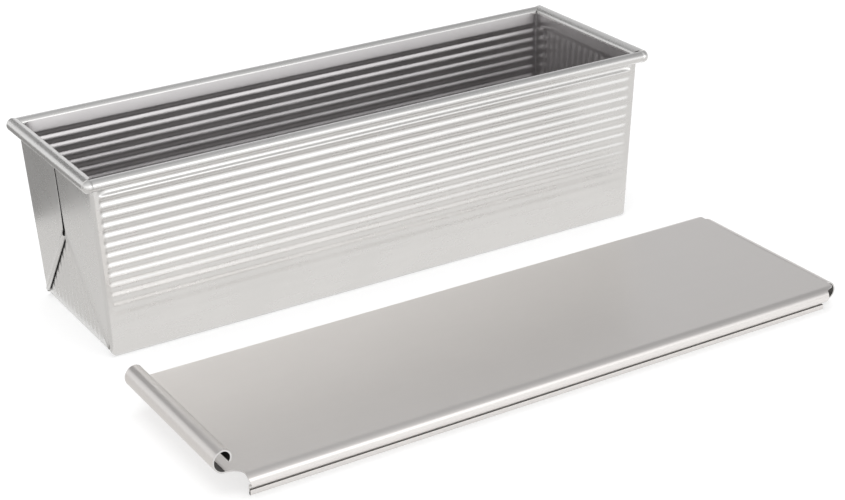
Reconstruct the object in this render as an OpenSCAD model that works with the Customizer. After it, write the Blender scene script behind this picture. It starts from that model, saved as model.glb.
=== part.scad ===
// Pullman loaf pan: one folded sheet with a wired rim, and a sliding cover.
// Millimetres. Origin at the middle of the pan's base, on the table.
// +X runs along the pan, +Y from the cover towards the pan, +Z up.

/* [Pan] */
// Length over the rolled rim
rim_l = 346; // [240:1:420]
// Width over the rolled rim
rim_w = 111.7; // [100:0.1:160]
// Height from the table to the top of the rim
pan_h = 103.2; // [84:0.1:130]
// How far each wall leans outwards between the base and the rim
taper = 4.15; // [1:0.05:5]
// Thickness of the pan's sheet
sheet_t = 0.8; // [0.6:0.1:1]
// Outside radius of the four upright corners
corner_r = 2; // [2:0.25:4]

/* [Ribs] */
// Distance from one pressed rib to the next
rib_pitch = 5.65; // [5:0.05:8]
// Height of the ribs to either side of the sheet's middle
rib_a = 0.35; // [0.2:0.05:0.45]

/* [Rim] */
// Diameter of the rolled rim along the two long sides
bead_d = 6.4; // [6:0.1:7]
// Diameter along the two ends, where the corner folds are rolled in as well
end_bead_d = 7.6; // [7.2:0.1:8]

/* [Cover] */
// How much longer the cover is than the rim
lid_over = 19; // [18:0.1:60]
// Thickness of the cover's sheet
lid_t = 0.8; // [0.6:0.1:1]
// Height of the cover's flat top above the table it lies on
lid_h = 13.2; // [13:0.1:15]
// Outside radius of the rolled side rails
rail_r = 4.2; // [4.2:0.1:4.8]
// Sideways play between each rail and the pan's rim
lid_play = 2.2; // [1:0.1:3]
// Outside radius of the down-turned end
curl_r = 4.5; // [4.2:0.1:5]
// Outside radius of the rolled handle end
tube_r = 6; // [5:0.1:7]
// Gap between the cover and the pan's rim when it lies beside it
lid_gap = 38.4; // [10:0.1:100]
// Where the cover is: beside the pan on the table, or slid home on the rim
lid_place = "beside"; // [beside, closed]

/* [Hidden] */
$fn = 48;

// The rim: a wire with the sheet rolled round it
wire_d = bead_d - 2 * sheet_t;
bz = pan_h - end_bead_d / 2;
bx = rim_l / 2 - end_bead_d / 2;
by = rim_w / 2 - bead_d / 2;

// Outside of the walls at the height of the rim's wire, and at the base
top_l = rim_l / 2 - end_bead_d + sheet_t + 0.05;
top_w = rim_w / 2 - bead_d + sheet_t + 0.05;
base_l = top_l - taper;
base_w = top_w - taper;
lean = atan(taper / bz);
// Two more layers of sheet where the corner folds lie on the ends
ear = 2 * sheet_t;
ear_top = base_w * 1.15;

// Ribs on the long walls, counted down from the rim
step = rib_pitch / 8;
rib_top = pan_h - 12.25;
rib_n = floor((rib_top - 4) / rib_pitch);
wall_n0 = -rib_n * 8 - 3;
wall_n1 = 6;
wall_z0 = rib_top - (rib_n + 0.25) * rib_pitch;
wall_z1 = rib_top + 0.75 * rib_pitch;
rib_x = base_l - 4.5;
// Ribs on the floor and the ends, counted out from the middle
floor_n = floor((base_w - 4.5) / rib_pitch - 0.5) * 8 + 3;
end_n = floor((base_w - 3.6) / rib_pitch - 0.5) * 8 + 3;

// The cover's rails: bend line, height of the bend's middle, and the small turn above the hem
rail_y = rim_w / 2 + lid_play - rail_r + lid_t;
rail_z = lid_h - rail_r;
turn_a = 95;
turn_r = 0.3;
turn = [rail_y + (rail_r + turn_r) * cos(turn_a), rail_z - (rail_r + turn_r) * sin(turn_a)];
hem_y = turn[0] - turn_r;
raw_z = turn[1] - 1.7;
// The cover's ends: a tube at -X, a down-turned curl at +X
lid_l = rim_l + lid_over;
tube_r2 = tube_r * 0.7;
tube_a = 105;
tube_x = -lid_l / 2 + tube_r;
tube_z = lid_h - lid_t + tube_r;
tube_c = [tube_x + (tube_r - tube_r2) * cos(tube_a), tube_z + (tube_r - tube_r2) * sin(tube_a)];
curl_x = lid_l / 2 - curl_r;
curl_z = lid_h - curl_r;
notch_x = tube_x + 1;
notch_r = 6;
// Half the length of the handle tube, which is a little narrower than the flat
tube_w = rail_y - 5.3;
rail_x1 = curl_x - 1.2;
// The cover's place
closed = lid_place == "closed";
lid_x = closed ? rim_l / 2 + 0.3 + lid_t - lid_l / 2 : 2.7;
lid_y = closed ? 0 : -rim_w / 2 - lid_gap - rail_y - rail_r;
lid_z = closed ? pan_h - lid_h + lid_t : 0;

function arc(c, r, a, b, n) = [for (i = [0:n]) [c[0] + r * cos(a + (b - a) * i / n), c[1] + r * sin(a + (b - a) * i / n)]];
function rev(p) = [for (i = [len(p) - 1:-1:0]) p[i]];
function wave(u) = rib_a * cos(360 * u / rib_pitch);

// One ribbed long wall, as seen from its end: [y, z]
function wall_edge(g) = [for (k = [wall_n0:wall_n1]) let (z = rib_top + (k + 0.5) * step) [base_w + taper * z / bz + wave(z - rib_top) - g, z]];
wall_pts = concat(wall_edge(0), rev(wall_edge(sheet_t)));

// The ribbed floor, as seen from its end: [y, z]. Its ribs stand on the table
function floor_edge(g) = [for (k = [-floor_n - 1:floor_n]) let (y = (k + 0.5) * step) [y, rib_a - wave(y) + g]];
floor_pts = concat(floor_edge(0), rev(floor_edge(sheet_t)));

// The end ribs, seen from above: x is the distance out from the sheet's face, y runs across
function end_pts(m) = concat(
    [for (k = [-end_n - 1:end_n]) let (y = (k + 0.5) * step) [wave(y) * m, y]],
    [[-0.5, (end_n + 0.5) * step], [-0.5, -(end_n + 0.5) * step]]
);

// A leaning tub: g in from the outside, e longer at each end, rounded a little at its base
module tub(g, e, z0, z1) {
    r = corner_r - g;
    hull() for (i = [-1, 1], j = [-1, 1], k = [0:2]) {
        z = k == 0 ? z0 : k == 1 ? z0 + 1 : z1 - 0.01;
        c = k == 0 ? r - 0.6 : r;
        d = taper * z / bz - g - (k == 0 ? 0.9 : 0) - c;
        translate([i * (base_l + e + d), j * (base_w + d), z]) cylinder(r = c, h = 0.01, $fn = 32);
    }
}

// A loop round the rim: d thick along the long sides, e thick along the ends
module rim_loop(d, e) {
    for (j = [-1, 1]) translate([-bx, j * by, bz]) rotate([0, 90, 0]) cylinder(d = d, h = 2 * bx);
    for (i = [-1, 1]) translate([i * bx, -by, bz]) rotate([-90, 0, 0]) cylinder(d = e, h = 2 * by);
    for (i = [-1, 1], j = [-1, 1]) translate([i * bx, j * by, bz]) sphere(d = (d + e) / 2, $fn = 24);
}

// Places its children on both ends, with x = 0 on the leaning outside face of the sheet
module on_ends(x = 0) {
    for (s = [0, 180]) rotate([0, 0, s]) translate([base_l + x, 0, 0]) rotate([0, lean, 0]) children();
}

// The bare triangle below the two corner folds, t thick from the sheet's face outwards
module below_folds(x, t, d = 0) {
    translate([x, 0, 0]) rotate([90, 0, 90]) linear_extrude(t)
        polygon([[-base_w - 1 + d, -1], [base_w + 1 - d, -1], [0, ear_top - d]]);
}

module smooth_tub() {
    difference() {
        union() {
            tub(0, ear, 0, bz);
            rim_loop(bead_d, end_bead_d);
        }
        tub(sheet_t, 0, sheet_t, pan_h + 1);
        rim_loop(wire_d, wire_d);
        // the roll's raw edge stops just short of the walls
        for (j = [-1, 1]) translate([8 - bx, j * (by - 1.2) - 0.2, bz - bead_d / 2 - 1]) cube([2 * bx - 16, 0.4, bead_d / 2 - 0.7]);
        for (i = [-1, 1]) translate([i * (bx - 0.8) - 0.2, 8 - by, bz - end_bead_d / 2 - 1]) cube([0.4, 2 * by - 16, end_bead_d / 2 - 0.9]);
        // windows for the ribbed panels
        translate([-rib_x, -rim_w, wall_z0 + 0.2]) cube([2 * rib_x, 2 * rim_w, wall_z1 - wall_z0 - 0.4]);
        translate([-rib_x, -floor_n * step, -1]) cube([2 * rib_x, 2 * floor_n * step, 3]);
        // where the corner folds end, and the slit where they meet
        on_ends() {
            below_folds(0, 4);
            translate([0, -0.45, ear_top - 3]) cube([4, 0.9, bz - end_bead_d / 2 - 1 - ear_top + 3]);
        }
    }
}

module long_ribs() {
    for (m = [0, 1]) mirror([0, m, 0]) translate([-rib_x - 0.5, 0, 0]) rotate([90, 0, 90])
        linear_extrude(2 * rib_x + 1) polygon(wall_pts);
    translate([-rib_x - 0.5, 0, 0]) rotate([90, 0, 90]) linear_extrude(2 * rib_x + 1) polygon(floor_pts);
}

module end_ribs() {
    on_ends() {
        // inside
        translate([-sheet_t, 0, 3]) mirror([1, 0, 0]) linear_extrude(bz - 10) polygon(end_pts(-1));
        // outside, below the folds
        intersection() {
            translate([0, 0, 2]) linear_extrude(ear_top) polygon(end_pts(1));
            below_folds(-0.6, 2, 3);
        }
    }
}

module pan_shell() {
    color("silver") union() {
        smooth_tub();
        long_ribs();
        end_ribs();
    }
}

module rim_wire() {
    color("gray") rim_loop(wire_d, wire_d);
}

// One side of the cover's cross-section, from the middle of its top to the middle of its underside
rail_pts = concat(
    arc([rail_y, rail_z], rail_r, 90, -turn_a, 17),
    arc(turn, turn_r, 180 - turn_a, 180, 3),
    [[hem_y, raw_z], [hem_y + lid_t, raw_z]],
    arc([hem_y, lid_t], lid_t, 0, -180, 8),
    arc(turn, turn_r + lid_t, 180, 180 - turn_a, 5),
    arc([rail_y, rail_z], rail_r - lid_t, -turn_a, 90, 17)
);
lid_pts = concat(rail_pts, rev([for (p = rail_pts) [-p[0], p[1]]]));

tube_pts = concat(
    arc([tube_x, tube_z], tube_r, 270, tube_a, 12),
    arc(tube_c, tube_r2, tube_a, -40, 14),
    arc(tube_c, tube_r2 - lid_t, -40, tube_a, 14),
    arc([tube_x, tube_z], tube_r - lid_t, tube_a, 270, 12)
);
curl_pts = concat(
    arc([curl_x, curl_z], curl_r, 90, -90, 16),
    arc([curl_x, curl_z], curl_r - lid_t, -90, 90, 16)
);

module across(w) {
    translate([0, w, 0]) rotate([90, 0, 0]) linear_extrude(2 * w) children();
}

module lid_sheet() {
    curl_w = rail_y - 3.9;
    color("gainsboro") translate([lid_x, lid_y, lid_z]) union() {
        difference() {
            translate([notch_x, 0, 0]) rotate([90, 0, 90]) linear_extrude(rail_x1 - notch_x) polygon(lid_pts);
            for (j = [-1, 1]) {
                // rounded cut at the tube's end of each rail
                translate([notch_x, j * (tube_w + notch_r), rail_z]) cylinder(r = notch_r, h = 2 * rail_r);
                translate([notch_x - 1, j * (rail_y + 4) - 7, -1]) cube([notch_r + 3.2, 14, rail_z + 1]);
                // rail and hem stop short of the other end
                translate([rail_x1 - 5, j * (rail_y + 2.5) - 5, -1]) cube([6.5, 10, rail_z + 1]);
                translate([rail_x1 - 5, j * (rail_y + 6.4) - 5.5, -1]) cube([6.5, 11, lid_h + 2]);
            }
        }
        // flat between the rails and the two curled ends
        translate([0, 0, lid_h - lid_t]) linear_extrude(lid_t) {
            polygon([[tube_x, -tube_w], [notch_x + 1, -tube_w], [notch_x + 1, tube_w], [tube_x, tube_w]]);
            polygon([[rail_x1 - 1, -rail_y + 0.1], [rail_x1, -rail_y + 0.1], [rail_x1 + 0.7, -curl_w - 1], [curl_x, -curl_w], [curl_x, curl_w], [rail_x1 + 0.7, curl_w + 1], [rail_x1, rail_y - 0.1], [rail_x1 - 1, rail_y - 0.1]]);
        }
        across(tube_w) polygon(tube_pts);
        across(curl_w) polygon(curl_pts);
    }
}

pan_shell();
rim_wire();
lid_sheet();
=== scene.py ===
import math

import bpy
import numpy as np
from mathutils import Matrix, Vector


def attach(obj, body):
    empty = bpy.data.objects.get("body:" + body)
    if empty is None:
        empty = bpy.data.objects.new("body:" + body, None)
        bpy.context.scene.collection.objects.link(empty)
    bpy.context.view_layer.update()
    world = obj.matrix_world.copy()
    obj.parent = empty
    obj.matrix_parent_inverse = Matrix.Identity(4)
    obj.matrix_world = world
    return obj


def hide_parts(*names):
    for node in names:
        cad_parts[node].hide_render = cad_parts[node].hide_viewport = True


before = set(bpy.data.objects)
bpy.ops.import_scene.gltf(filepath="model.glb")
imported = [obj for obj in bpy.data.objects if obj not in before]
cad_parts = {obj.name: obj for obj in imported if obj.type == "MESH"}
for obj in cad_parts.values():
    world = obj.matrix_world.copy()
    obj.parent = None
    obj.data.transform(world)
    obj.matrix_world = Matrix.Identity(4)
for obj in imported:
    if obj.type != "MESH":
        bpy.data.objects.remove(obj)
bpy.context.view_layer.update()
scene = bpy.context.scene

# ---------------------------------------------------------------- camera
AZ, EL, ROLL, F_PX = -0.529645, 0.426145, -0.030138, 1965.88
CAM = Vector((-0.480837, -0.908138, 0.4664))
cam = bpy.data.cameras.new("camera")
cam.sensor_width = 36.0
cam.lens = F_PX / 845.0 * 36.0
cam.clip_end = 20
camo = bpy.data.objects.new("camera", cam)
scene.collection.objects.link(camo)
back = Vector((math.sin(AZ) * math.cos(EL), -math.cos(AZ) * math.cos(EL), math.sin(EL)))
fwd = -back
right = fwd.cross(Vector((0, 0, 1))).normalized()
up = right.cross(fwd)
c, s = math.cos(ROLL), math.sin(ROLL)
r2, u2 = c * right + s * up, -s * right + c * up
camo.matrix_world = Matrix(
    (
        (r2.x, u2.x, back.x, CAM.x),
        (r2.y, u2.y, back.y, CAM.y),
        (r2.z, u2.z, back.z, CAM.z),
        (0, 0, 0, 1),
    )
)
scene.camera = camo

# ---------------------------------------------------------------- measures, mm
RIM_L, RIM_W, PAN_H, T = 346.0, 111.7, 103.2, 0.8
BR, BR_END, WIRE_R = 3.2, 3.8, 2.4
BZ, BX, BY = PAN_H - BR_END, RIM_L / 2 - BR_END, RIM_W / 2 - BR
TAPER = 4.15
BASE_L = RIM_L / 2 - 2 * BR_END + T + 0.05 - TAPER
BASE_W = RIM_W / 2 - 2 * BR + T + 0.05 - TAPER
PITCH, RIB = 5.65, 0.36
RIB_TOP = 85.3
EAR, EAR_TOP = 1.6, BASE_W * 1.15
LID_H, RAIL_R, RAIL_Y, LID_X, LID_Y = 13.2, 4.2, 54.65, 2.7, -153.1
LID_L = RIM_L + 19.0
CURL_R, TUBE_R = 5.3, 6.0
TUBE_W, NOTCH_R, CURL_W = RAIL_Y - 5.3, 6.0, 51.2


def smooth(a, b, x):
    t = np.clip((x - a) / (b - a), 0, 1)
    return t * t * (3 - 2 * t)


# ---------------------------------------------------------------- mesh helpers
def vertex_normals(V, F):
    N = np.zeros_like(V)
    for n in (3, 4):
        f = np.array([x for x in F if len(x) == n], dtype=int)
        if len(f) == 0:
            continue
        a = V[f[:, 2]] - V[f[:, 0]]
        b = (V[f[:, 3]] - V[f[:, 1]]) if n == 4 else (V[f[:, 2]] - V[f[:, 1]])
        fn = np.cross(a, b)
        if n == 3:
            fn = np.cross(V[f[:, 1]] - V[f[:, 0]], V[f[:, 2]] - V[f[:, 0]])
        for k in range(n):
            np.add.at(N, f[:, k], fn)
    L = np.linalg.norm(N, axis=1)
    L[L < 1e-12] = 1
    return N / L[:, None]


def make(name, V, F, mats, index=None, sharp=38.0):
    """V in mm. Makes the object, smooth shaded with sharp edges by angle."""
    me = bpy.data.meshes.new(name)
    me.from_pydata([tuple(v) for v in np.asarray(V) / 1000.0], [], [tuple(int(i) for i in f) for f in F])
    for m in mats:
        me.materials.append(m)
    if index is not None:
        me.polygons.foreach_set("material_index", np.asarray(index, dtype=np.int32))
    me.polygons.foreach_set("use_smooth", np.ones(len(me.polygons), dtype=bool))
    me.update()
    me.set_sharp_from_angle(angle=math.radians(sharp))
    o = bpy.data.objects.new(name, me)
    scene.collection.objects.link(o)
    return o


def thicken(V, F, t, inner_slot=0, rim_slot=0):
    """A sheet t thick from its outside skin: outside, inside and the cut edges between them."""
    V = np.asarray(V, dtype=float)
    N = vertex_normals(V, F)
    n = len(V)
    V2 = V - N * t
    count, owner = {}, {}
    for f in F:
        m = len(f)
        for k in range(m):
            a, b = f[k], f[(k + 1) % m]
            key = (a, b) if a < b else (b, a)
            count[key] = count.get(key, 0) + 1
            owner[key] = (a, b)
    rim = [owner[k] for k, c_ in count.items() if c_ == 1]
    FF = [tuple(f) for f in F]
    idx = [0] * len(F)
    FF += [tuple(n + i for i in reversed(f)) for f in F]
    idx += [inner_slot] * len(F)
    FF += [(b, a, n + a, n + b) for a, b in rim]
    idx += [rim_slot] * len(rim)
    return np.vstack([V, V2]), FF, idx


def join(parts):
    V, F, I, n = [], [], [], 0
    for v, f, i in parts:
        V.append(np.asarray(v, dtype=float))
        F += [tuple(n + k for k in q) for q in f]
        I += list(i)
        n += len(v)
    return np.vstack(V), F, I


def grid(P, flip=False):
    """Quads over an array of points [nu, nv, 3]."""
    nu, nv = P.shape[:2]
    F = []
    for i in range(nu - 1):
        for j in range(nv - 1):
            q = (i * nv + j, i * nv + j + 1, (i + 1) * nv + j + 1, (i + 1) * nv + j)
            F.append(q[::-1] if flip else q)
    return P.reshape(-1, 3), F


# ---------------------------------------------------------------- materials
def node(nt, kind, **kw):
    n = nt.nodes.new(kind)
    for k, v in kw.items():
        setattr(n, k, v)
    return n


def metal(name, colour, tint, rough, rough_var=0.06, grain=0.03, streak=(1, 1, 1), coat=0.0):
    """Rolled sheet: a fine even grain, faint cloudy changes of colour and roughness, and long rolling streaks."""
    m = bpy.data.materials.new(name)
    m.use_nodes = True
    nt = m.node_tree
    L = nt.links
    b = nt.nodes["Principled BSDF"]
    b.inputs["Metallic"].default_value = 1.0
    b.inputs["Coat Weight"].default_value = coat
    b.inputs["Coat Roughness"].default_value = 0.25
    tc = node(nt, "ShaderNodeTexCoord")
    cloud = node(nt, "ShaderNodeTexNoise")
    cloud.inputs["Scale"].default_value = 38
    cloud.inputs["Detail"].default_value = 5
    cloud.inputs["Roughness"].default_value = 0.6
    L.new(tc.outputs["Object"], cloud.inputs["Vector"])
    mp = node(nt, "ShaderNodeMapping")
    mp.inputs["Scale"].default_value = streak
    L.new(tc.outputs["Object"], mp.inputs["Vector"])
    st = node(nt, "ShaderNodeTexNoise")
    st.inputs["Scale"].default_value = 260
    st.inputs["Detail"].default_value = 3
    L.new(mp.outputs["Vector"], st.inputs["Vector"])
    # colour
    ramp = node(nt, "ShaderNodeValToRGB")
    ramp.color_ramp.elements[0].position = 0.32
    ramp.color_ramp.elements[0].color = (*[x * tint for x in colour], 1)
    ramp.color_ramp.elements[1].position = 0.68
    ramp.color_ramp.elements[1].color = (*colour, 1)
    mixf = node(nt, "ShaderNodeMath", operation="MULTIPLY_ADD")
    L.new(st.outputs["Fac"], mixf.inputs[0])
    mixf.inputs[1].default_value = 0.5
    L.new(cloud.outputs["Fac"], mixf.inputs[2])
    sub = node(nt, "ShaderNodeMath", operation="SUBTRACT")
    L.new(mixf.outputs[0], sub.inputs[0])
    sub.inputs[1].default_value = 0.25
    L.new(sub.outputs[0], ramp.inputs["Fac"])
    L.new(ramp.outputs["Color"], b.inputs["Base Color"])
    # roughness
    mr = node(nt, "ShaderNodeMapRange")
    mr.inputs["From Min"].default_value = 0.3
    mr.inputs["From Max"].default_value = 0.7
    mr.inputs["To Min"].default_value = rough - rough_var
    mr.inputs["To Max"].default_value = rough + rough_var
    L.new(sub.outputs[0], mr.inputs["Value"])
    L.new(mr.outputs["Result"], b.inputs["Roughness"])
    # grain
    fine = node(nt, "ShaderNodeTexNoise")
    fine.inputs["Scale"].default_value = 2600
    fine.inputs["Detail"].default_value = 2
    L.new(tc.outputs["Object"], fine.inputs["Vector"])
    addn = node(nt, "ShaderNodeMath", operation="MULTIPLY_ADD")
    L.new(st.outputs["Fac"], addn.inputs[0])
    addn.inputs[1].default_value = 0.6
    L.new(fine.outputs["Fac"], addn.inputs[2])
    bp = node(nt, "ShaderNodeBump")
    bp.inputs["Strength"].default_value = grain
    bp.inputs["Distance"].default_value = 0.0004
    L.new(addn.outputs[0], bp.inputs["Height"])
    L.new(bp.outputs["Normal"], b.inputs["Normal"])
    return m


OUT = metal("pan_outside", (0.70, 0.695, 0.685), 0.97, 0.275, rough_var=0.025, streak=(0.12, 1, 1))
# the same sheet as the outside in a darker colour: the darkness is painted shade for the pan's inside
INS = metal("pan_inside", (0.575, 0.56, 0.562), 0.94, 0.33, rough_var=0.03, streak=(0.12, 1, 1))
EDGE = metal("pan_cut_edge", (0.62, 0.6, 0.58), 0.8, 0.42)
WIRE = metal("rim_wire_steel", (0.45, 0.44, 0.43), 0.85, 0.4)
# very dark sheet: painted shade for the gaps at the seam and under the corner folds
SEAM_SHADE = metal("pan_seam_painted_shade", (0.045, 0.043, 0.042), 0.7, 0.6)
LID = metal("cover_sheet", (0.745, 0.72, 0.70), 0.985, 0.31, rough_var=0.015, grain=0.02, streak=(0.1, 1, 1))
# very dark sheet: painted shade for the hollows of the tube and the down-turned end, and for the hem's cut edges
LID_HOLLOW_SHADE = metal("cover_tube_inside_painted_shade", (0.16, 0.155, 0.15), 0.8, 0.5)
LID_EDGE = metal("cover_cut_edge", (0.72, 0.71, 0.7), 0.85, 0.35)

# ---------------------------------------------------------------- the pan's tub
M, A = 44, 5
K_STEP = PITCH / 7
R_T, R_B = 1.5, 1.3
RIB_X0, RIB_X1 = 0.3, 2.1


def half_y(z):
    return BASE_W + TAPER * z / BZ


def half_x(z):
    return BASE_L + TAPER * z / BZ


def wave(u):
    return np.cos(2 * np.pi * u / PITCH)


def long_rib(z):
    """Outward displacement of a long wall's sheet at height z."""
    on = smooth(1.6, 3.4, z) * (1 - smooth(91.4, 93.6, z))
    return RIB * wave(z - RIB_TOP) * on


LIP, LIP_TOP = 1.05, 100.2


def lip(z):
    """How far the sheet is pressed in just below the rim, before it leans out into the rolled bead."""
    t = np.clip((z - 93.9) / (LIP_TOP - 93.9), 0, 1)
    return LIP * smooth(91.0, 94.1, z) * (1 - t**1.1)


def end_rib(y, z):
    on = smooth(2.2, 4.5, z) * (1 - smooth(87.0, 93.0, z)) * (1 - smooth(40.8, 42.6, np.abs(y)))
    # the wall is pressed flat along the foot of each corner fold
    off = (EAR_TOP * (1 - np.abs(y) / BASE_W) - z) * 0.656
    on = on * (1 - np.exp(-(((off - 0.2) / 1.7) ** 2)))
    return RIB * 0.9 * wave(y) * on


# where columns stand on a long wall: close together where the ribs run out
cols = np.concatenate([[0, 0.15], np.linspace(RIB_X0, RIB_X1, 7), [3.2, 5.0, 7.5], np.linspace(12, 100, 5)])
n_side = len(cols)
rows = np.arange(-55, 56) * K_STEP
K = len(rows) - 1

step = PITCH / 7
zs = np.arange(RIB_TOP + 7 * step, R_B + 0.3, -step)
z_levels = list(np.linspace(LIP_TOP, 95.2, 10)) + list(np.linspace(94.9, 91.4, 12)) + list(zs) + [R_B]
rounding = [math.radians(a) for a in (22, 45, 68, 90)]


def ring(z, inset, ribbed=True):
    """One level of the tub's outside, from its front left corner and round."""
    hx, hy = half_x(z) - inset, half_y(z) - inset
    r = max(R_T - inset, 0.3)
    X = hx - r
    Y = hy - r
    xs = np.concatenate([-X + cols, [0.0], (X - cols)[::-1]])
    d = np.concatenate([cols, [X], cols[::-1]])
    # the ribs stop crisply at the left end and run out more gently at the right
    fade = np.where(xs < 0, smooth(RIB_X0, RIB_X1, d), smooth(RIB_X0, 3.4, d))
    # the lowest ribs are shallow
    low = 0.14 + 0.86 * smooth(14.0, 56.0, z)
    g = long_rib(z) * fade * ribbed * low - lip(z) * smooth(0.0, 5.0, d)
    ys = np.where(np.abs(rows) < 42.0, rows, np.sign(rows) * (42.0 + (np.abs(rows) - 42.0) * (Y - 42.0) / (rows[-1] - 42.0)))
    e = end_rib(ys, z) * ribbed - 0.2 * lip(z) * smooth(0.0, 4.0, Y - np.abs(ys))
    pts = []
    pts += [(x, -hy - q, z) for x, q in zip(xs, g)]
    arc = [math.pi / 2 * k / A for k in range(1, A)]
    pts += [(X + r * math.sin(a), -Y - r * math.cos(a), z) for a in arc]
    pts += [(hx + q, y, z) for y, q in zip(ys, e)]
    pts += [(X + r * math.cos(a), Y + r * math.sin(a), z) for a in arc]
    pts += [(x, hy + q, z) for x, q in zip(xs[::-1], g[::-1])]
    pts += [(-X - r * math.sin(a), Y + r * math.cos(a), z) for a in arc]
    pts += [(-hx - q, y, z) for y, q in zip(ys[::-1], e[::-1])]
    pts += [(-X - r * math.cos(a), -Y - r * math.sin(a), z) for a in arc]
    return np.array(pts), xs, ys


levels = []
for z in z_levels:
    p, xs, ys = ring(z, 0.0)
    levels.append(p)
for a in rounding:
    p, xs, ys = ring(R_B * (1 - math.sin(a)), R_B * (1 - math.cos(a)), ribbed=False)
    p[:, 2] = R_B * (1 - math.sin(a))
    levels.append(p)
N = len(levels[0])
V = np.vstack(levels)
F = []
for k in range(len(levels) - 1):
    for j in range(N):
        j2 = (j + 1) % N
        F.append((k * N + j, (k + 1) * N + j, (k + 1) * N + j2, k * N + j2))
# floor
MC, KC = len(xs), len(ys)
hx, hy = half_x(0) - R_B, half_y(0) - R_B
base = (len(levels) - 1) * N
gx, gy = np.meshgrid(xs, ys, indexing="ij")
edge = np.minimum(smooth(1.2, 3.6, xs[-1] - np.abs(gx)), 1 - smooth(41.0, 42.2, np.abs(gy)))
lift = RIB * (1 - wave(gy)) * edge
G = np.stack([gx, gy, lift], axis=-1).reshape(-1, 3)
g0 = len(V)
V = np.vstack([V, G])
gi = lambda i, j: g0 + i * KC + j
for i in range(MC - 1):
    for j in range(KC - 1):
        F.append((gi(i, j), gi(i, j + 1), gi(i + 1, j + 1), gi(i + 1, j)))
front = [base + i for i in range(MC)]
o1 = MC + A - 1
rightw = [base + o1 + j for j in range(KC)]
o2 = o1 + KC + A - 1
backw = [base + o2 + i for i in range(MC)][::-1]
o3 = o2 + MC + A - 1
leftw = [base + o3 + j for j in range(KC)][::-1]
for i in range(MC - 1):
    F.append((front[i], gi(i, 0), gi(i + 1, 0), front[i + 1]))
    F.append((gi(i, KC - 1), backw[i], backw[i + 1], gi(i + 1, KC - 1)))
for j in range(KC - 1):
    F.append((leftw[j], leftw[j + 1], gi(0, j + 1), gi(0, j)))
    F.append((gi(MC - 1, j), gi(MC - 1, j + 1), rightw[j + 1], rightw[j]))


def fan(centre, ids):
    for a, b in zip(ids, ids[1:]):
        F.append((centre, b, a))


fan(gi(MC - 1, 0), [front[-1]] + [base + MC + k for k in range(A - 1)] + [rightw[0]])
fan(gi(MC - 1, KC - 1), [rightw[-1]] + [base + o1 + KC + k for k in range(A - 1)] + [backw[-1]])
fan(gi(0, KC - 1), [backw[0]] + [base + o2 + MC + k for k in range(A - 1)] + [leftw[-1]])
fan(gi(0, 0), [leftw[0]] + [base + o3 + KC + k for k in range(A - 1)] + [front[0]])
# small creases pressed in just below the point where the corner folds meet
for side in (-1, 1):
    on_end = np.abs(V[:, 0] - side * (BASE_L + TAPER * V[:, 2] / BZ)) < 0.6
    for cy, cz, h in ((2.6, 43.8, 0.3), (-2.4, 44.2, 0.26), (0.4, 46.5, 0.22)):
        bump = h * np.exp(-(((V[:, 1] - cy) / 0.8) ** 2) - ((V[:, 2] - cz) / 2.6) ** 2)
        V[:, 0] += np.where(on_end, side * bump, 0)
tub = thicken(V, F, T, inner_slot=1, rim_slot=2)

# ---------------------------------------------------------------- the folded ends
R_C = 1.9
F_R = 1.15


def ear(sx, sy):
    """One corner fold lying on an end: outside skin, the rounded fold at its foot, its raw edge at the seam."""
    ys = np.concatenate([[0.72, 0.8, 1.1], np.linspace(2.2, 43.0, 26)])
    nz = 26
    arcs = [math.pi / 2 * k / 7 for k in range(0, 8)]
    nf = np.array([-1.0 * EAR_TOP / BASE_W, -1.0])
    nf /= np.linalg.norm(nf)
    P = []
    for k, y in enumerate(ys):
        zf = EAR_TOP * (1 - y / BASE_W)
        foot = np.array([y, zf]) - nf * F_R
        top = BZ - 1.0
        zz = top + (foot[1] - top) * np.linspace(0, 1, nz) ** 0.8
        yy = y + (foot[0] - y) * smooth(0.55, 1.0, np.linspace(0, 1, nz))
        col = []
        drop = 0.0
        if k == 0:
            drop = EAR
        elif k == 1:
            drop = 0.1
        for a, b in zip(yy, zz):
            swell = (2 * F_R - EAR) * (1 - smooth(0, 3.5, (b - foot[1])))
            yc = a
            col.append((half_x(b) + EAR + swell * 1.0 - drop, yc, b))
        for q in range(1, 9):
            be = math.pi * q / 8
            p = foot + nf * F_R * math.sin(be)
            x = half_x(p[1]) + F_R + F_R * math.cos(be) - (0 if k > 1 else drop * 0.5 * (1 + math.cos(be)))
            col.append((x, p[0], p[1]))
        P.append(col)
    # on to the corner: flat, then round it, then a little of the long wall
    y_last = ys[-1]
    flat_to = 3
    for k in range(1, flat_to + len(arcs) + 2):
        col = []
        zf = max(EAR_TOP * (1 - min(y_last + 0.25 * k, BASE_W - 0.3) / BASE_W), 0.3)
        foot_z = max(zf + 0.5, 0.5)
        top = BZ - 1.0
        zz = top + (foot_z - top) * np.linspace(0, 1, nz) ** 0.8
        for b in list(zz) + [foot_z - 0.05 * q for q in range(1, 9)]:
            hx, hy = half_x(b) + EAR, half_y(b)
            cx, cy = hx - R_C, hy - R_C
            if k <= flat_to:
                y0 = y_last + (cy - y_last) * k / (flat_to + 0.0)
                x = hx
            elif k - flat_to < len(arcs) + 0:
                a = arcs[k - flat_to]
                x, y0 = cx + R_C * math.cos(a), cy + R_C * math.sin(a)
            else:
                x, y0 = half_x(b) - R_T, hy
            # foot of the corner rounds in under itself
            low = max(0.0, 1.0 - b / 1.4)
            x -= low * low * 1.2
            col.append((x, y0 - low * low * (0.9 if k > flat_to else 0), b))
        P.append(col)
    P = np.array(P)
    v, f = grid(P)
    v[:, 0] *= sx
    v[:, 1] *= sy
    if sx * sy < 0:
        f = [tuple(reversed(q)) for q in f]
    n_col = len(P[0]) - 1
    # the faces at the seam and behind the foot of the fold get the very dark material: painted shade in those gaps
    return v, f, [1 if q < n_col or (q % n_col > nz + 3 and q // n_col < len(ys) - 1) else 0 for q in range(len(f))]


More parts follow.
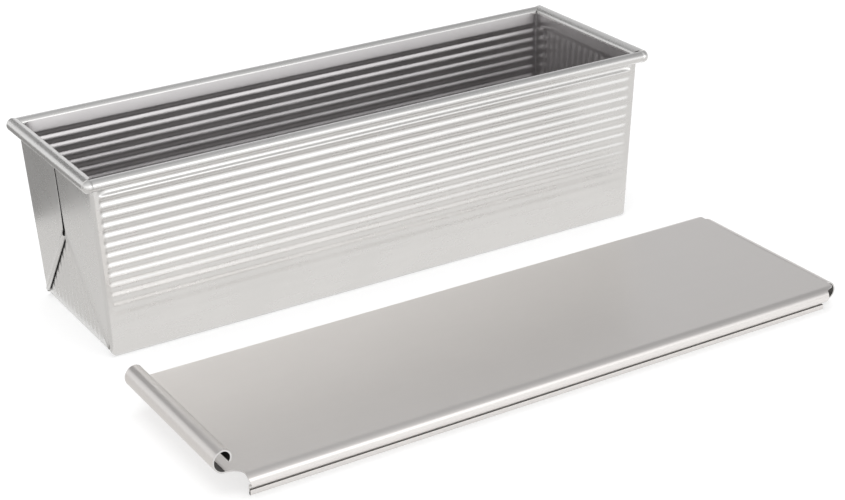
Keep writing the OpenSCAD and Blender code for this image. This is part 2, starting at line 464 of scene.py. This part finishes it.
def seam(sx):
    """A very dark sheet in the narrow gap between the two folds, seen to its bottom: painted shade in the gap."""
    zz = np.linspace(EAR_TOP - 1.5, BZ - 1.0, 30)
    Q = np.array([[(sx * (half_x(z) + 0.5), y, z) for y in (-0.78, 0.0, 0.78)] for z in zz])
    v, f = grid(Q, flip=(sx > 0))
    v, f, i = thicken(v, f, 0.3)
    return v, f, [1] * len(f)


ears = [ear(sx, sy) for sx in (-1, 1) for sy in (-1, 1)] + [seam(-1), seam(1)]


# ---------------------------------------------------------------- the rolled rim
def bead_profile(r):
    th = np.radians(np.concatenate([[180], np.arange(172, -131, -9.0), [-132]]))
    return r * np.cos(th), r * np.sin(th)


def bead(length, r, gap=0.16):
    """A rolled side: profile opening inwards; mitred on its inner half."""
    o, h = bead_profile(r)
    n = 15
    P = []
    for i in range(n):
        s = -1 + 2 * i / (n - 1)
        col = []
        for a, b in zip(o, h):
            reach = length + (a - gap if a < 0 else -0.0)
            col.append((s * reach, a, b))
        P.append(col)
    return np.array(P)


def place_bead(P, kind, sgn):
    Q = P.copy()
    if kind == "x":
        Q = np.stack([P[..., 0], sgn * (BY + P[..., 1]), BZ + P[..., 2]], axis=-1)
    else:
        Q = np.stack([sgn * (BX + P[..., 1]), P[..., 0], BZ + P[..., 2]], axis=-1)
    v, f = grid(Q)
    # outside normals: point away from the bead's middle
    n = vertex_normals(v, f)
    mid = np.array([0, sgn * BY, BZ]) if kind == "x" else np.array([sgn * BX, 0, BZ])
    w = v - mid
    w[:, 0 if kind == "x" else 1] = 0
    if (n * w).sum() < 0:
        f = [tuple(reversed(q)) for q in f]
    return thicken(v, f, (BR if kind == "x" else BR_END) - WIRE_R)


beads = []
for sgn in (-1, 1):
    beads.append(place_bead(bead(BX, BR), "x", sgn))
    beads.append(place_bead(bead(BY, BR_END), "y", sgn))


def ball(cx, cy, cz, r, n=20, m=14):
    P = []
    for i in range(n + 1):
        a = 2 * math.pi * i / n
        P.append([(cx + r * math.cos(a) * math.cos(b), cy + r * math.sin(a) * math.cos(b), cz + r * math.sin(b)) for b in np.linspace(-math.pi / 2, math.pi / 2, m)])
    v, f = grid(np.array(P), flip=True)
    return v, f, [0] * len(f)


balls = [ball(i * BX, j * BY, BZ, (BR + BR_END) / 2) for i in (-1, 1) for j in (-1, 1)]

v, f, idx = tub
pan_body = make("pan_body", v, f, [OUT, INS, EDGE], idx)
v, f, idx = join(ears)
pan_folds = make("pan_folds", v, f, [OUT, SEAM_SHADE], idx)
v, f, idx = join(beads + balls)
pan_rim = make("pan_rim", v, f, [OUT], idx)
for o in (pan_body, pan_folds, pan_rim):
    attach(o, "pan")
    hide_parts("pan_shell")


# ---------------------------------------------------------------- the cover
def arc_pts(cx, cy, r, a0, a1, n):
    return [(cx + r * math.cos(math.radians(a0 + (a1 - a0) * i / n)), cy + r * math.sin(math.radians(a0 + (a1 - a0) * i / n))) for i in range(n + 1)]


def cover():
    """The cover's outside skin as one cross-shaped grid, then given its thickness."""
    rz = LID_H - RAIL_R
    ta, tr = 95.0, 0.35
    tc = (RAIL_Y + (RAIL_R + tr) * math.cos(math.radians(ta)), rz - (RAIL_R + tr) * math.sin(math.radians(ta)))
    hem = tc[0] - tr
    # half profile outwards from the bend line: [across, up]
    rail = arc_pts(RAIL_Y, rz, RAIL_R, 90, -ta, 22)
    rail += arc_pts(tc[0], tc[1], tr, 180 - ta, 180, 3)[1:]
    rail += [(hem, tc[1] - 0.8), (hem, 1.4)]
    # hem: the sheet turns outwards and up over itself
    rail_hem = [(hem, 1.0)] + arc_pts(hem + 0.03, 0.86, 0.03, 180, 360, 4)
    s = [0.0]
    for a, b in zip(rail, rail[1:]):
        s.append(s[-1] + math.dist(a, b))
    notch = -LID_L / 2 + TUBE_R + 1.0
    x1 = LID_L / 2 - 5.7
    plate_y = [0, 10, 20, 30, 38, 44, 47.5, TUBE_W, TUBE_W + 0.25, TUBE_W + 0.7, CURL_W, 52.0, TUBE_W + 3.4, TUBE_W + 4.4]
    right_side = [(y, LID_H) for y in plate_y] + rail
    arc_s = [0.0] * len(plate_y) + s
    full = [(-a, b) for a, b in right_side[::-1]][:-1] + right_side
    full_s = arc_s[::-1][:-1] + arc_s
    nx = [notch, notch + 2, notch + 4, notch + 7, notch + 12, notch + 25] + list(np.linspace(notch + 50, x1 - 30, 9)) + [x1 - 14, x1 - 6, x1 - 2.5, x1]
    P = []
    for i, x in enumerate(nx):
        col = []
        for (a, b), q in zip(full, full_s):
            # at the tube's end the plate is cut away in a hollow curve out to the bend
            t = min(max(abs(a) - TUBE_W, 0.0), NOTCH_R) if q == 0 else NOTCH_R
            cut = math.sqrt(NOTCH_R**2 - (NOTCH_R - t) ** 2) + 2.2 * float(smooth(2.0, 12.3, np.array(q)))
            x0 = notch + cut
            # the rail and its strip stop short of the other end
            short = 5.0 * float(smooth(0.6, 3.4, np.array(q)))
            xx = x0 + (x - notch) * (x1 - short - x0) / (x1 - notch)
            dz = 0.0
            if abs(a) < 54:
                dz = 0.10 * math.sin(x / 62 + 0.6) * (1 - (a / 55.0) ** 2) - 0.10 * (1 - (a / 55.0) ** 2)
            col.append((xx, a, b + dz))
        P.append(col)
    P = np.array(P)
    v, f = grid(P, flip=True)
    parts = [thicken(v, f, T, 0, 1)]
    # outer ply of each hem
    for sgn in (-1, 1):
        prof = [(hem + T + 0.02, 2.9), (hem + T + 0.02, 2.1), (hem + T + 0.02, 1.3)] + [(p[0], p[1]) for p in arc_pts(hem + 0.01, 0.82, T + 0.01, 0, -180, 10)] + [(hem - T, 1.6)]
        Q = []
        for x in np.linspace(notch + NOTCH_R + 2.2, x1 - 5.0, 12):
            Q.append([(x, sgn * a, b) for a, b in prof])
        v, f = grid(np.array(Q), flip=(sgn < 0))
        n = vertex_normals(v, f)
        if (n[:, 1] * (v[:, 1] - sgn * hem)).sum() < 0:
            f = [tuple(reversed(q)) for q in f]
        # the outer ply's cut edges get the very dark material: painted shadow in the gap under the hem
        parts.append(thicken(v, f, T - 0.04, 0, 2))
    # the tube end and the down-turned end
    ys = sorted({round(y, 3) for a, b in full if b == LID_H and abs(a) <= TUBE_W + 0.001 for y in (a,)})
    ys = np.array([y for y in ys])
    tx, tz = -LID_L / 2 + TUBE_R, LID_H - T + TUBE_R
    r2_ = TUBE_R * 0.7
    ta2 = 105
    tc2 = (tx + (TUBE_R - r2_) * math.cos(math.radians(ta2)), tz + (TUBE_R - r2_) * math.sin(math.radians(ta2)))
    # this skin is the tube's outside, which is the plate's underside
    tube = [(notch, LID_H - T), ((notch + tx) / 2, LID_H - T)] + arc_pts(tx, tz, TUBE_R, 270, ta2, 18) + arc_pts(tc2[0], tc2[1], r2_, ta2, -42, 18)[1:]
    Q = np.array([[(x, y, z_) for y in ys] for x, z_ in tube])
    v, f = grid(Q)
    n = vertex_normals(v, f)
    if n[0, 2] > 0 or n[: len(ys) * 2, 2].mean() > 0:
        f = [tuple(reversed(q)) for q in f]
    v, f2, idx = thicken(v, f, T, 0, 1)
    # the hollow of the tube gets the very dark material: painted shade inside the tube
    per = len(ys) - 1
    for k in range(len(f)):
        if k // per > 1:
            idx[len(f) + k] = 2
    parts.append((v, f2, idx))
    cx, cz = LID_L / 2 - CURL_R, LID_H - CURL_R
    yy = np.array(sorted({round(a, 3) for a, b in full if b == LID_H and abs(a) <= CURL_W}))
    curl = [(x1, LID_H), ((x1 + cx) / 2, LID_H)] + arc_pts(cx, cz, CURL_R, 90, -92, 18)
    Q = np.array([[(x, y * (1.0 if k else 1.0), z_) for y in yy] for k, (x, z_) in enumerate(curl)])
    v, f = grid(Q, flip=True)
    n = vertex_normals(v, f)
    if n[: len(yy) * 2, 2].mean() < 0:
        f = [tuple(reversed(q)) for q in f]
    v, f2, idx = thicken(v, f, T, 0, 1)
    # the hollow of the down-turned end gets the very dark material too: painted shade inside the curl
    per = len(yy) - 1
    for k in range(len(f)):
        if k // per > 3:
            idx[len(f) + k] = 2
    parts.append((v, f2, idx))
    v, f, idx = join(parts)
    v = v + np.array([LID_X, LID_Y, 0])
    return v, f, idx


v, f, idx = cover()
lid = make("cover", v, f, [LID, LID_EDGE, LID_HOLLOW_SHADE], idx)
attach(lid, "lid")
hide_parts("lid_sheet")


def paint(o, m):
    o.data.materials.clear()
    o.data.materials.append(m)


paint(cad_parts["rim_wire"], WIRE)

# ---------------------------------------------------------------- stage
bpy.ops.mesh.primitive_plane_add(size=14, location=(0, 0, -0.0002))
floor = bpy.context.object
floor.name = "floor"
fm = bpy.data.materials.new("floor")
fm.use_nodes = True
fb = fm.node_tree.nodes["Principled BSDF"]
fb.inputs["Base Color"].default_value = (0.5, 0.5, 0.5, 1)
fb.inputs["Emission Color"].default_value = (1, 1, 1, 1)
fb.inputs["Emission Strength"].default_value = 0.55
fb.inputs["Roughness"].default_value = 1.0
fb.inputs["Specular IOR Level"].default_value = 0.0
paint(floor, fm)

w = bpy.data.worlds.new("world")
scene.world = w
w.use_nodes = True
nt = w.node_tree
bg = nt.nodes["Background"]
tc = node(nt, "ShaderNodeTexCoord")
sep = node(nt, "ShaderNodeSeparateXYZ")
nt.links.new(tc.outputs["Generated"], sep.inputs["Vector"])
# brighter towards the front, where the softboxes stand, and greyer overhead and behind
dot = node(nt, "ShaderNodeVectorMath", operation="DOT_PRODUCT")
dot.inputs[1].default_value = (-0.42, -0.86, 0.28)
nt.links.new(tc.outputs["Generated"], dot.inputs[0])
ramp = node(nt, "ShaderNodeValToRGB")
ramp.color_ramp.interpolation = "EASE"
e = ramp.color_ramp.elements
e[0].position, e[0].color = 0.0, (0.74, 0.74, 0.745, 1)
e[1].position, e[1].color = 1.0, (1, 1, 1, 1)
e1 = e.new(0.45)
e1.color = (0.62, 0.62, 0.625, 1)
half = node(nt, "ShaderNodeMath", operation="MULTIPLY_ADD")
half.inputs[1].default_value = 0.5
half.inputs[2].default_value = 0.5
nt.links.new(dot.outputs["Value"], half.inputs[0])
nt.links.new(half.outputs[0], ramp.inputs["Fac"])
# the right-hand side is a little further from the light
side = node(nt, "ShaderNodeMapRange", interpolation_type="SMOOTHSTEP")
side.inputs["From Min"].default_value = 0.2
side.inputs["From Max"].default_value = 0.75
side.inputs["To Min"].default_value = 1.0
side.inputs["To Max"].default_value = 0.68
nt.links.new(sep.outputs["X"], side.inputs["Value"])
# the softboxes end well below overhead
sky = node(nt, "ShaderNodeMapRange", interpolation_type="SMOOTHSTEP")
sky.inputs["From Min"].default_value = 0.32
sky.inputs["From Max"].default_value = 0.6
sky.inputs["To Min"].default_value = 1.0
sky.inputs["To Max"].default_value = 0.68
nt.links.new(sep.outputs["Z"], sky.inputs["Value"])
both = node(nt, "ShaderNodeMath", operation="MULTIPLY")
nt.links.new(side.outputs["Result"], both.inputs[0])
nt.links.new(sky.outputs["Result"], both.inputs[1])
scale = node(nt, "ShaderNodeVectorMath", operation="SCALE")
nt.links.new(ramp.outputs["Color"], scale.inputs[0])
nt.links.new(both.outputs[0], scale.inputs["Scale"])
# one softbox stands low in front, a little to the right
box = node(nt, "ShaderNodeVectorMath", operation="DOT_PRODUCT")
box.inputs[1].default_value = (0.266, -0.943, 0.2)
nt.links.new(tc.outputs["Generated"], box.inputs[0])
boost = node(nt, "ShaderNodeMapRange", interpolation_type="SMOOTHSTEP")
boost.inputs["From Min"].default_value = 0.88
boost.inputs["From Max"].default_value = 0.99
boost.inputs["To Min"].default_value = 1.0
boost.inputs["To Max"].default_value = 1.62
nt.links.new(box.outputs["Value"], boost.inputs["Value"])
front = node(nt, "ShaderNodeVectorMath", operation="SCALE")
nt.links.new(scale.outputs["Vector"], front.inputs[0])
nt.links.new(boost.outputs["Result"], front.inputs["Scale"])
# a bright band low down all round, where the pale floor meets the walls of the room
glow = node(nt, "ShaderNodeMapRange", interpolation_type="SMOOTHSTEP")
glow.inputs["From Min"].default_value = 0.04
glow.inputs["From Max"].default_value = 0.24
glow.inputs["To Min"].default_value = 1.0
glow.inputs["To Max"].default_value = 0.0
nt.links.new(sep.outputs["Z"], glow.inputs["Value"])
low = node(nt, "ShaderNodeMix", data_type="RGBA", blend_type="LIGHTEN")
nt.links.new(glow.outputs["Result"], low.inputs["Factor"])
nt.links.new(front.outputs["Vector"], low.inputs["A"])
low.inputs["B"].default_value = (0.74, 0.74, 0.74, 1)
nt.links.new(low.outputs["Result"], bg.inputs["Color"])
bg.inputs["Strength"].default_value = 1.42


def area(name, loc, target, size, energy, glossy=True):
    l = bpy.data.lights.new(name, "AREA")
    l.size = size
    l.energy = energy
    o = bpy.data.objects.new(name, l)
    scene.collection.objects.link(o)
    o.location = loc
    o.rotation_euler = (Vector(target) - Vector(loc)).to_track_quat("-Z", "Y").to_euler()
    o.visible_glossy = glossy
    return o


def card(name, corners, value):
    """A flat board that shows only in the metal's reflections."""
    me = bpy.data.meshes.new(name)
    me.from_pydata(corners, [], [tuple(range(len(corners)))])
    o = bpy.data.objects.new(name, me)
    scene.collection.objects.link(o)
    m = bpy.data.materials.new(name)
    m.use_nodes = True
    n = m.node_tree
    n.nodes.clear()
    em = node(n, "ShaderNodeEmission")
    em.inputs["Color"].default_value = (value, value * 0.985, value * 0.97, 1)
    ou = node(n, "ShaderNodeOutputMaterial")
    n.links.new(em.outputs[0], ou.inputs["Surface"])
    paint(o, m)
    o.visible_camera = o.visible_diffuse = o.visible_shadow = o.visible_transmission = False
    return o


# a dark board on the table behind the pan's left end, a greyer stretch of table beside it, and a dark flag up behind
card("board", [(-1.5, 0.9, 0.0015), (-1.5, 0.145, 0.0015), (-0.16, 0.139, 0.0015), (-0.16, 0.9, 0.0015)], 0.35)
card("table_grey", [(-0.9, 0.138, 0.001), (-0.9, -0.3, 0.001), (-0.167, -0.3, 0.001), (-0.167, 0.138, 0.001)], 0.8)
card("table_gap", [(-0.2, -0.047, 0.0008), (-0.2, -0.12, 0.0008), (0.2, -0.12, 0.0008), (0.2, -0.047, 0.0008)], 0.98)
card("table_right", [(0.2, -0.06, 0.001), (0.2, -0.9, 0.001), (1.2, -0.9, 0.001), (1.2, -0.06, 0.001)], 0.9)
card("strip", [(-0.166, -0.0955, 0.001), (0.176, -0.0955, 0.001), (0.176, -0.0955, 0.0125), (-0.166, -0.0955, 0.0125)], 0.95)
card("flag", [(-0.78, 1.35, 0.66), (0.16, 1.35, 0.66), (0.2, 1.3, 1.02), (-0.78, 1.3, 1.02)], 0.14)
area("fill", (0, -0.1, 3.0), (0, -0.1, 0), 3.0, 48, glossy=False)
scene.view_settings.view_transform = "Standard"
